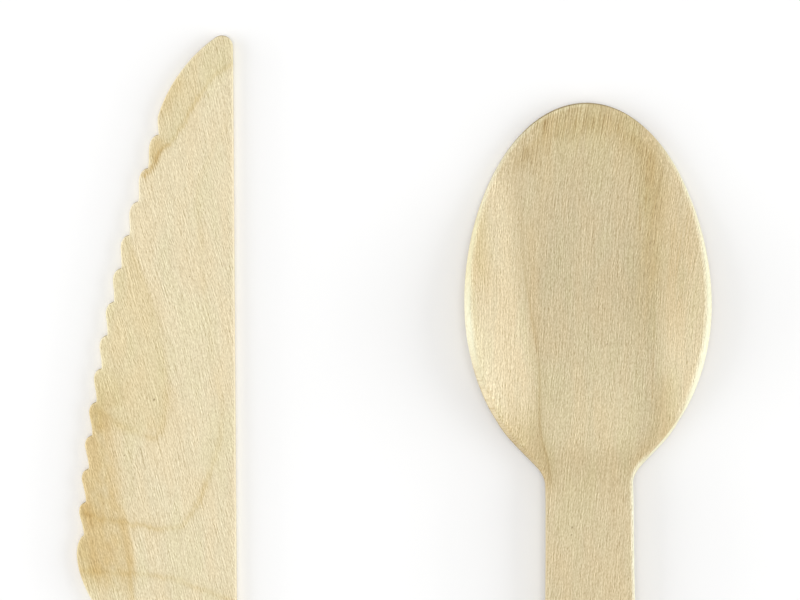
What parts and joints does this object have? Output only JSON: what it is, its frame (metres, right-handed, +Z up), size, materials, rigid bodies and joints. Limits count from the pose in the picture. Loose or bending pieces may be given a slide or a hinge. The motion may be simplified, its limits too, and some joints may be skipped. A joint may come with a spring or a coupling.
{
  "type": "wooden cutlery set",
  "caption": "Disposable wooden knife with a toothed edge and a pressed wooden spoon with a shallow bowl, lying side by side.",
  "frame": {"origin": "middle of the set's footprint, on the surface that it lies on", "axes": "+Z up, +Y from the handle ends to the tips, +X to the right, from the knife to the spoon"},
  "size_m": [0.087, 0.1652, 0.0054],
  "materials": {
    "knife_birch": "pale sanded birch veneer, uncoated, fine straight fibres with a faint cathedral figure and a browner heart streak along the teeth",
    "spoon_birch": "pale birch veneer, pressed and uncoated, straight fibres with soft brown bands"
  },
  "bodies": {
    "root": {"knife": "knife_birch", "spoon": "spoon_birch"}
  },
  "joints": []
}
